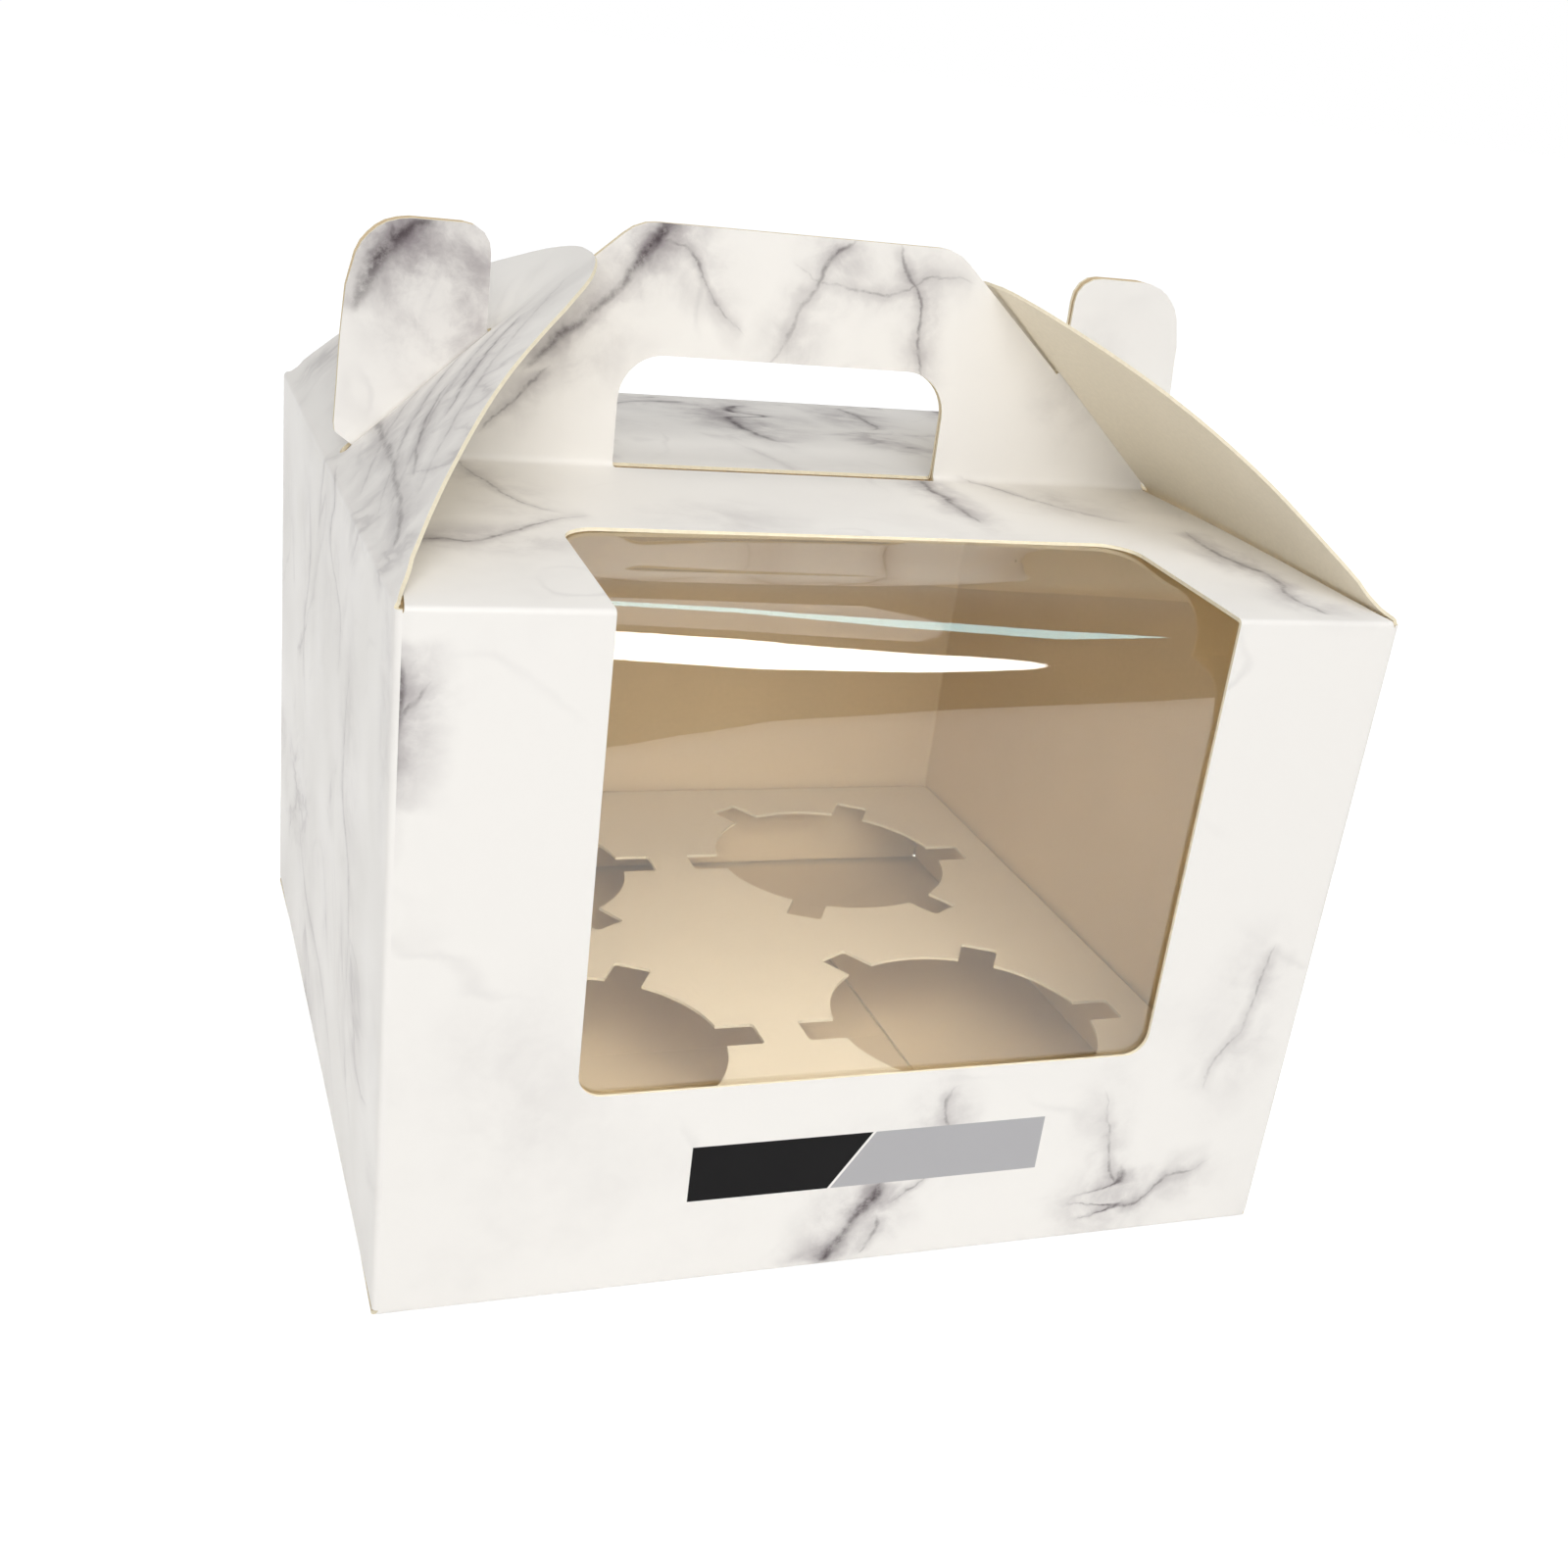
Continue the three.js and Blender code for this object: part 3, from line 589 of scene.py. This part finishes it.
# The front sheet from the side, as Y and Z: its outer face from the bottom flap to the handle's top.
PROFILE = ([(12.0, 0.0)] + arc(-HD + FOLD, FOLD, FOLD, -90, -180, 5) + [(-HD, Z_LOW), (-HD, Z_HIGH)]
           + arc(-HD + TOP_BEND, Z_HIGH + 0.05, TOP_BEND, 178, 94, 6)
           + [(-72, 115.28), (-60, 115.68), (-50, 116.05), (-40, 116.33), (-30, 116.6), (-20, 116.75),
              (-10, 116.85), PANEL_END]
           + arc(-2.0, 118.1, 1.2, -80, -6, 5) + [(-0.76, 119), (-0.75, 130), (-0.75, HANDLE_TOP)])
# Places on the sheet are shifted so that v is the height anywhere on the wall.
PATH = Path(PROFILE, 0)
PATH.at += Z_LOW - PATH.at[PROFILE.index((-HD, Z_LOW))]
V_BOTTOM = float(PATH.at[1])
V_TOP = Z_HIGH + math.pi / 2 * TOP_BEND
V_FOLD = float(PATH.at[PROFILE.index(PANEL_END)])
V_WINDOW_END = V_TOP + WINDOW_ON_TOP
V_UP = float(PATH.at[-1]) - HANDLE_TOP
WALL_ROWS = 28
WALL_ZS = [Z_LOW + (Z_HIGH - Z_LOW) * i / WALL_ROWS for i in range(1, WALL_ROWS + 1)]
SEAM_Y = -8.1

# Right edge of a handle layer, as X and Z: the ear, the notch beside it and the slope to the top.
HANDLE = [(75.8, RIM_Z), (78.9, 120.6), (79.1, 122), (78.7, 129), (78.3, 136.8), (77.6, 144.3),
          (76.2, 149.5), (75.3, 151.3), (74.2, 152.6), (72.9, 153.8), (71.4, 154.7), (69.5, 155.3),
          (67.5, EAR_TOP), (59, EAR_TOP), (57.2, 155.3), (55.6, 154.3), (54.6, 152.8), (54.3, 151),
          (54.3, 138.6), (53.2, 137.8), (32, 156.1), (30.3, 157.3), (28.2, 158.1), (26.4, HANDLE_TOP)]


def v_of_z(z):
    """Place on the sheet of a height on the handle."""
    return z + V_UP


def hump(at, start, end):
    """0 at the start and the end of a stretch and 1 at its middle."""
    return math.sin(math.pi * (at - start) / (end - start))


def half_sheet(window, turn):
    """Front or back: bottom flap, wall, top panel and handle layer in one strip."""
    reach = SEAM_Y - 0.05 if window else -SEAM_Y
    seam = V_BOTTOM - (reach + HD - FOLD)
    right = [(78.8, seam), (HW - 0.05, V_BOTTOM), (WALL_HALF, Z_LOW)]
    right += [(WALL_HALF, z) for z in WALL_ZS]
    right += [(78.8, Z_HIGH + 0.3), (78.3, V_TOP + 3), (75.9, V_FOLD - 1), (75.8, v_of_z(RIM_Z))]
    right += [(x, v_of_z(z)) for x, z in HANDLE[1:]]
    outline = right + [(-x, v) for x, v in reversed(right)]
    # The grip is cut from the fold of the handle upwards.
    holes = [rounded(-GRIP_HALF, GRIP_HALF, V_FOLD + 0.3, v_of_z(GRIP_TOP), 0.6, GRIP_R, 10)]
    if window:
        holes.append(rounded(-WINDOW_HALF, WINDOW_HALF, WINDOW_LOW, V_WINDOW_END, 4, 6, 8))
    rows = sorted({round(float(x), 4) for x in PATH.at if PATH.at[0] < x < PATH.at[-1] - 1})
    flat, faces = mesh_sheet(outline, holes, rows)
    bow = FRONT_BOW if window else BACK_BOW
    ear = v_of_z(EAR_LOW)

    def place(u, v):
        y, z = (float(c) for c in PATH(v))
        # The walls and panels bow by a fraction of a millimetre, and the ears spread apart at their tops.
        if Z_LOW < v < Z_HIGH:
            y -= bow * max(0.0, hump(v, Z_LOW, Z_HIGH) * math.cos(math.pi * u / WALL_SPAN) ** 2)
        if v > ear:
            side = min(1.0, max(0.0, (abs(u) - 52) / 8))
            y -= EAR_SPREAD * side * ((v - ear) / (EAR_TOP - EAR_LOW)) ** 1.3
        if V_TOP < v < V_FOLD:
            z += PANEL_BOW * max(0.0, hump(v, V_TOP, V_FOLD) * math.cos(math.pi * u / PANEL_SPAN) ** 2)
        return (u * turn, y * turn, z)

    if window:
        return flat, faces, place, (0.0, 0.0), FRONT_INK
    return flat, faces, place, (0.0, BACK_SHIFT), BACK_INK


# Side sheets: a bottom flap over those of the front and back, and a wall up to where the lock flap starts

SIDE_FLOOR = 0.9
SIDE_LOW, SIDE_TOP = 2.2, 114.6
SIDE_EDGE = 114.5
FLAP_START_Z = 113.4


def side_sheet(turn):
    """A side wall with its vertical corner folds and its bottom flap."""
    bend = arc(HW - FOLD, SIDE_FLOOR + FOLD, FOLD, -90, 0, 5)
    path = Path([(36, SIDE_FLOOR)] + bend + [(HW, SIDE_LOW), (HW, SIDE_TOP)], 0)
    shift = float(path.at[-1]) - SIDE_TOP
    half, corner = WALL_HALF, math.pi / 2 * CORNER
    run = [(45, 0.0), (77, path.at[1] - 0.2), (half, path.at[3]), (half + corner, path.at[3])]
    wall = [(half + corner, z + shift) for z in WALL_ZS if z > SIDE_LOW + 0.1]
    wall.append((half + corner, SIDE_EDGE + shift))
    outline = run + wall + [(half, SIDE_EDGE + shift), (half, FLAP_START_Z + shift)]
    outline += [(-u, v) for u, v in reversed(outline)]
    rows = [float(x) for x in path.at[1:8]]
    columns = [s * (half + corner * i / 5) for s in (-1, 1) for i in range(5)]
    flat, faces = mesh_sheet(outline, (), rows, columns)

    def place(u, v):
        x, z = (float(c) for c in path(v))
        y = u
        if abs(u) > half:
            angle = (abs(u) - half) / CORNER
            x = half + CORNER * math.cos(angle)
            y = math.copysign(HD - CORNER + CORNER * math.sin(angle), u)
        elif z > SIDE_LOW + 0.1:
            x += SIDE_BOW * max(0.0, hump(z, 2, Z_HIGH) * math.cos(math.pi * u / WALL_SPAN) ** 2)
        return (x * turn, y * turn, z)

    if turn < 0:
        return flat, faces, place, (SIDE_SHIFT, -shift), LEFT_INK
    return flat, faces, place, (-SIDE_SHIFT, -shift), RIGHT_INK


def glue_flap():
    """The flap that joins the sheet's two ends, inside the back wall at its left corner."""
    outline = [(-79.7, 4), (-67, 10), (-67, 105), (-79.7, 111)]
    flat, faces = mesh_sheet(outline)
    return flat, faces[:, ::-1], lambda u, v: (u, HD - 0.9, v), (900.0, 0.0), BACK_INK


SHEETS = [half_sheet(True, 1), half_sheet(False, -1), side_sheet(1), side_sheet(-1), glue_flap()]
build("folded_carton", SHEETS, CARD, "box", ["carton"])

# Lock flaps, with the crease that joins each to its side wall

FLAP_ANGLE = math.radians(42)
FLAP_ROOT_X, FLAP_ROOT_Z = 79.7, 114.9
FLAP_REACH = 56.5
FLAP_BOW, BOW_WIDTH = 4.0, 14
# Along the sheet the flap starts on the wall and turns inwards between FOLD_LOW and FOLD_HIGH.
FLAP_START, FOLD_LOW, FOLD_HIGH = -2.6, -1.6, 1.0
FOLD_PEAK_Z = 115.05
# Right edge of a flap, as the distance from its fold and the half width there.
OUTLINE = [(0.35, 78.6), (1.6, 75.8), (3, 73.9), (5, 71.4), (7.5, 68.5), (10, 65.4), (14.5, 60.3), (19, 55.5),
           (24, 49.8), (28.5, 44.7), (33, 39.8), (38.5, 34.1), (42, 30.2), (45, 26.9), (48, 23), (50.5, 19.7),
           (52.5, 16.5), (54, 13.3), (55.2, 9.9), (56, 6.7), (56.4, 3.4)]


def flap_line(u, v):
    """X and Z above the fold, where the flap bows outwards on both sides of a sharp crease."""
    spread = 1 - math.exp(-(math.sqrt(u * u + 1.5) - 1.22) / BOW_WIDTH)
    rise = math.sin(math.pi * min(v / FLAP_REACH, 1)) * min(1, (v - FOLD_HIGH) / 4)
    bow = FLAP_BOW * rise * spread + BOARD / 2
    x = FLAP_ROOT_X - v * math.cos(FLAP_ANGLE) + bow * math.sin(FLAP_ANGLE)
    z = FLAP_ROOT_Z + v * math.sin(FLAP_ANGLE) + bow * math.cos(FLAP_ANGLE)
    return x, z


def flap_place(turn):
    """Places the points of one flap: up the wall, round the fold and along the bowed part."""
    bend_z = FLAP_START_Z + FOLD_LOW - FLAP_START
    end_x, end_z = flap_line(0.0, FOLD_HIGH)

    def place(u, v):
        if v >= FOLD_HIGH:
            x, z = flap_line(u, v)
        elif v < FOLD_LOW:
            x, z = HW, FLAP_START_Z + v - FLAP_START
        else:
            s = (v - FOLD_LOW) / (FOLD_HIGH - FOLD_LOW)
            x = (1 - s) ** 2 * HW + 2 * s * (1 - s) * HW + s * s * end_x
            z = (1 - s) ** 2 * bend_z + 2 * s * (1 - s) * FOLD_PEAK_Z + s * s * end_z
        return (x * turn, u * turn, z)

    return place


def lock_flap(name, turn, node):
    """A flap that turns inwards at its fold, where it hangs on the side wall."""
    right = [(WALL_HALF, FLAP_START), (WALL_HALF, -0.9), (78.9, 0.0)] + [(w, v) for v, w in OUTLINE]
    outline = right + [(-u, v) for u, v in reversed(right)]
    slot = arc(0, 4.2, 1.5, -220, 40, 12) + arc(0, 34.5, 1.05, 0, 180, 8)
    rows = [FOLD_LOW, -1.1, -0.6, -0.1, 0.45, FOLD_HIGH] + [4.0 + 4 * i for i in range(13)]
    flat, faces = mesh_sheet(outline, [slot], rows, [0.0, -2.5, 2.5], 3.5)
    shift = (SIDE_SHIFT if turn < 0 else -SIDE_SHIFT, 116.0)
    ink = PRINTS["left" if turn < 0 else "right"]
    obj = build(name, [(flat, faces, flap_place(turn), shift, 0)], [ink, FLAP_INSIDE_PAINTED_LIGHT, EDGE], None, [node])
    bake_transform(obj)
    return obj


lock_flap("lock_flap_right", 1, "right_lock_flap")
lock_flap("lock_flap_left", -1, "left_lock_flap")

# Insert


INSERT_HALF_X, INSERT_HALF_Y = 79.0, 78.1
INSERT_TOP, INSERT_LEG, INSERT_BEND = 21.2, 18.6, 0.8
INSERT_SAG = 0.35
CUP_PLACE, CUP_R = 37.5, 26
NOTCHES, NOTCH_HALF, NOTCH_END, NOTCH_CHAMFER = 6, 3.7, 33.1, 0.5


def cup_hole(cx, cy):
    """A round hole with notches all round, which let the card give way to a cup."""
    out = []
    lean = math.degrees(math.asin(NOTCH_HALF / CUP_R))
    near, low = NOTCH_END - NOTCH_CHAMFER, NOTCH_HALF - NOTCH_CHAMFER
    notch = ((near, -NOTCH_HALF), (NOTCH_END, -low), (NOTCH_END, low), (near, NOTCH_HALF))
    turn = 360 / NOTCHES
    for k in range(NOTCHES):
        base = turn * k
        out += arc(0, 0, CUP_R, base - turn + lean, base - lean, 10)
        c, s = math.cos(math.radians(base)), math.sin(math.radians(base))
        out += [(x * c - y * s, x * s + y * c) for x, y in notch]
    return [(cx + x, cy + y) for x, y in out]


def insert():
    """The tray with four cup holes and a folded leg on each side."""
    hx, hy, r = INSERT_HALF_X, INSERT_HALF_Y, INSERT_BEND
    gap = 1.4
    bend = r * math.pi / 2
    ax, ay = (half - r + bend + INSERT_LEG for half in (hx, hy))
    quarter = [(ax, hy - gap), (hx - r, hy - gap), (hx - gap, hy - r), (hx - gap, ay)]
    outline = (quarter + [(-x, y) for x, y in reversed(quarter)] + [(-x, -y) for x, y in quarter]
               + [(x, -y) for x, y in reversed(quarter)])
    holes = [cup_hole(sx * CUP_PLACE, sy * CUP_PLACE) for sx in (-1, 1) for sy in (-1, 1)]
    bends = [bend * i / 4 for i in range(5)]
    rows = [s * (hy - r + b) for s in (-1, 1) for b in bends]
    columns = [s * (hx - r + b) for s in (-1, 1) for b in bends]
    flat, faces = mesh_sheet(outline, holes, rows, columns)

    def fold(u, half):
        over = abs(u) - (half - r)
        if over <= 0:
            return u, 0.0
        angle = min(over / r, math.pi / 2)
        down = r * (1 - math.cos(angle)) + max(0.0, over - bend)
        return math.copysign(half - r + r * math.sin(angle), u), down

    def place(u, v):
        x, down_x = fold(u, hx)
        y, down_y = fold(v, hy)
        sag = INSERT_SAG * math.cos(math.pi * x / WALL_SPAN) * math.cos(math.pi * y / WALL_SPAN)
        return (x, y, INSERT_TOP - down_x - down_y - sag)

    return flat, faces, place, (0.0, 900.0), 0


build("cup_tray", [insert()], [TRAY, INSIDE_PAINTED_SHADE, EDGE], "box", ["cup_insert"])

# Window film: it cuts the corner of the box in a wide bend and lies under the panel behind


FILM_HALF, FILM_LOW, FILM_TOP = 57, 30.0, 114.6
# The film lies under the panel from FILM_TOUCH to FILM_END, both in Y.
FILM_TOUCH, FILM_END = -42, -35.0
FILM_GAP = 0.05
FILM_LOOSE = 0.25


def film_profile(u):
    """Side view of the film at one width: it leaves the wall lower on the left than on the right."""
    wall = -HD + BOARD + 0.3
    start = float(np.interp(u, [-57, -50, -25, 0, 25, 50, 57], [93.2, 93.8, 98.4, 100.2, 101.5, 102.8, 103]))
    low = float(np.interp(u, [-57, -50, -25, 0, 25, 57], [107.6, 107.3, 105.5, 104.6, 104.6, 105]))
    high = low + float(np.interp(u, [-57, -50, -25, 0, 57], [2.7, 2.9, 4.3, 4.3, 3.6]))
    y, z = wall, start - 40 * math.sin(math.radians(10))
    points = [(wall, FILM_LOW), (wall, z)]
    # Four arcs follow each other: first lean, last lean and radius. The divisors are about the
    # height that each arc gains per millimetre of radius.
    for a0, a1, r in ((0, 10, 40.0), (10, 31, (low - start) / 0.341), (31, 42, (high - low) / 0.154),
                      (42, 88, (FILM_TOP - high) / 0.331)):
        for i in range(5):
            b0, b1 = (math.radians(a0 + (a1 - a0) * (i + k) / 5) for k in (0, 1))
            y += r * (math.cos(b0) - math.cos(b1))
            z += r * (math.sin(b1) - math.sin(b0))
            points.append((y, z))
    panel = [p for p in PROFILE if p[1] > 115.2 and p[0] < -2.1]
    lift = float(np.interp(FILM_TOUCH, *zip(*panel))) - BOARD - FILM_GAP
    lift += PANEL_BOW * math.cos(math.pi * u / PANEL_SPAN) ** 2
    for k in (0.25, 0.5, 0.75, 0.9, 1.0):
        points.append((y + (FILM_TOUCH - y) * k, z + (lift - z) * k ** 1.5))
    points.append((FILM_END, lift + 0.15))
    return Path(points, FILM_LOW)


def film():
    """The window film, a little loose in its middle."""
    known = {}
    length = min(film_profile(u).at[-1] for u in (-FILM_HALF, 0, FILM_HALF))
    rows = [80 + 2.0 * i for i in range(28)]
    outline = [(FILM_HALF, FILM_LOW), (FILM_HALF, length), (-FILM_HALF, length), (-FILM_HALF, FILM_LOW)]
    flat, faces = mesh_sheet(outline, (), rows, (), 4.0)

    def place(u, v):
        key = round(u, 3)
        if key not in known:
            known[key] = film_profile(u)
        y, z = (float(c) for c in known[key](v))
        loose = max(0.0, math.cos(math.pi * min(1.0, abs(u) / 54) / 2))
        run = math.sin(math.pi * min(1, max(0, (v - 38) / 50)))
        y += loose * run * (FILM_LOOSE + 0.2 * math.sin(u / 17 + 0.6) * math.sin(v / 19))
        return (u, y, z)

    return flat, faces, place, (0.0, 1300.0), 0


FILM_SHADE_TINT = shade_tinted_film()
window = build("window_sheet", [film()], [FILM_SHADE_TINT, FILM_SHADE_TINT, FILM_SHADE_TINT], "box", ["window_film"],
               thickness=FILM_THICKNESS)
window.visible_shadow = False

# Floor, light and camera

scene = bpy.context.scene
scene.view_settings.view_transform = "Standard"

# The floor and the world are brighter to the camera than to the box, so the ground stays white.
bpy.ops.mesh.primitive_plane_add(size=90, location=(0, 0, -0.0002))
floor = bpy.context.object
floor.name = "floor"
ground = Nodes("floor_pale")
ground.shader.inputs["Base Color"].default_value = (0.86, 0.86, 0.86, 1)
ground.shader.inputs["Roughness"].default_value = 0.9
ground.shader.inputs["Specular IOR Level"].default_value = 0.0
ray = ground.add("ShaderNodeLightPath").outputs
seen = ground.math("MAXIMUM", ray["Is Camera Ray"], ray["Is Transmission Ray"])
seen = ground.math("ADD", ground.math("MULTIPLY", seen, 0.6), ray["Is Glossy Ray"])
glow = ground.add("ShaderNodeEmission")
ground.put(glow.inputs["Strength"], seen)
joined = ground.add("ShaderNodeAddShader")
ground.put(joined.inputs[0], ground.shader.outputs[0])
ground.put(joined.inputs[1], glow.outputs[0])
ground.put(ground.tree.nodes["Material Output"].inputs["Surface"], joined.outputs[0])
floor.data.materials.append(ground.material)

world = bpy.data.worlds.new("studio")
scene.world = world
world.use_nodes = True
wt = world.node_tree
background = wt.nodes["Background"]
background.inputs["Color"].default_value = (1, 1, 1, 1)
path_node = wt.nodes.new("ShaderNodeLightPath")
base = wt.nodes.new("ShaderNodeValue")
base.outputs[0].default_value = 0.5
level = base.outputs[0]
for output, more in (("Is Camera Ray", 0.5), ("Is Transmission Ray", 0.5), ("Is Glossy Ray", -0.25)):
    step = wt.nodes.new("ShaderNodeMath")
    step.operation = "MULTIPLY_ADD"
    step.inputs[1].default_value = more
    wt.links.new(path_node.outputs[output], step.inputs[0])
    wt.links.new(level, step.inputs[2])
    level = step.outputs[0]
wt.links.new(level, background.inputs["Strength"])


def lamp(name, place, target, size, power, colour=(1, 1, 1), along=(1, 0, 0), gloss_only=False,
         shape="RECTANGLE"):
    """An area lamp that faces its target, with the first of its sizes along a direction."""
    data = bpy.data.lights.new(name, "AREA")
    data.shape = shape
    data.size, data.size_y = size
    data.energy = power
    data.color = colour
    obj = bpy.data.objects.new(name, data)
    scene.collection.objects.link(obj)
    z = (Vector(place) - Vector(target)).normalized()
    x = Vector(along)
    x = (x - z * x.dot(z)).normalized()
    turn = Matrix((x, z.cross(x), z)).transposed().to_4x4()
    turn.translation = Vector(place)
    obj.matrix_world = turn
    if gloss_only:
        obj.visible_diffuse = False


lamp("key", (-0.25, -1.28, 0.75), (0, 0, 0.06), (0.8, 0.8), 7.3)
lamp("left_fill", (-1.2, -0.4, 0.16), (0, 0, 0.08), (0.6, 0.5), 0.7)
lamp("overhead", (0.1, -0.1, 1.35), (0, 0, 0.1), (0.9, 0.9), 4.0)
lamp("softbox", (0.12, -0.84, 1.02), (0, -0.07, 0.107), (0.95, 0.48), 17.0, gloss_only=True, shape="ELLIPSE")
lamp("blue_strip", (0.34, -0.08, 1.04), (0, -0.07, 0.11), (0.55, 0.09), 0.9, (0.5, 0.9, 1.0),
     (0.634, -0.70, -0.326), gloss_only=True)

# The camera, from the fit to the photograph
AZIMUTH, ELEVATION, ROLL = (math.radians(angle) for angle in (-21.999, 23.524, 7.333))
FRAME_PX, FOCAL_PX, RAISED_PX = 1600, 1864.13, 70
SENSOR = 36
EYE = (-0.11527, -0.31294, 0.18702)
back = Vector((math.sin(AZIMUTH) * math.cos(ELEVATION), -math.cos(AZIMUTH) * math.cos(ELEVATION),
               math.sin(ELEVATION)))
side = Vector((0, 0, 1)).cross(back).normalized()
up = back.cross(side)
rolled_side = math.cos(ROLL) * side + math.sin(ROLL) * up
rolled_up = -math.sin(ROLL) * side + math.cos(ROLL) * up
camera = bpy.data.cameras.new("camera")
camera.sensor_width = SENSOR
camera.lens = FOCAL_PX / FRAME_PX * SENSOR
camera.shift_y = RAISED_PX / FRAME_PX
camera.clip_start = 0.01
eye = bpy.data.objects.new("camera", camera)
scene.collection.objects.link(eye)
turned = Matrix((rolled_side, rolled_up, back)).transposed().to_4x4()
turned.translation = Vector(EYE)
eye.matrix_world = turned
scene.camera = eye
